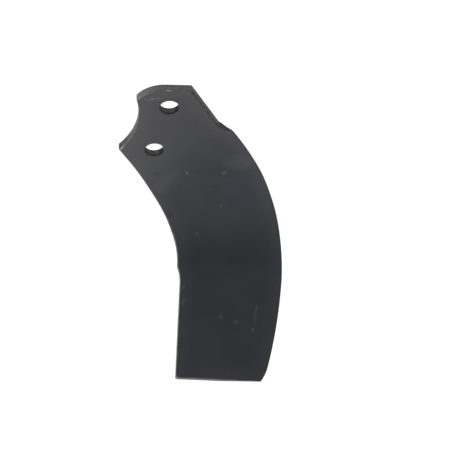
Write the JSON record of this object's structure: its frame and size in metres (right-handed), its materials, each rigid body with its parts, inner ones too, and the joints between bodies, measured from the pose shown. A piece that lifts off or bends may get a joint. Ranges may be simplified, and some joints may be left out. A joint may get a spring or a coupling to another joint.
{
  "type": "rotary tiller blade",
  "caption": "Black curved tiller blade of bent steel plate, with bolt holes through a flat shank and a wide bevelled wing.",
  "frame": {"origin": "mid-point between the two bolt holes, on the flat mounting face of the shank", "axes": "+Z out of the shank on the side the wing bends to, +Y along the line of the holes to the shank's end, +X to the cutting edge"},
  "size_m": [0.1645, 0.2113, 0.1527],
  "materials": {
    "painted_steel": "satin"
  },
  "bodies": {
    "root": {"tiller_blade": "painted_steel"}
  },
  "joints": []
}
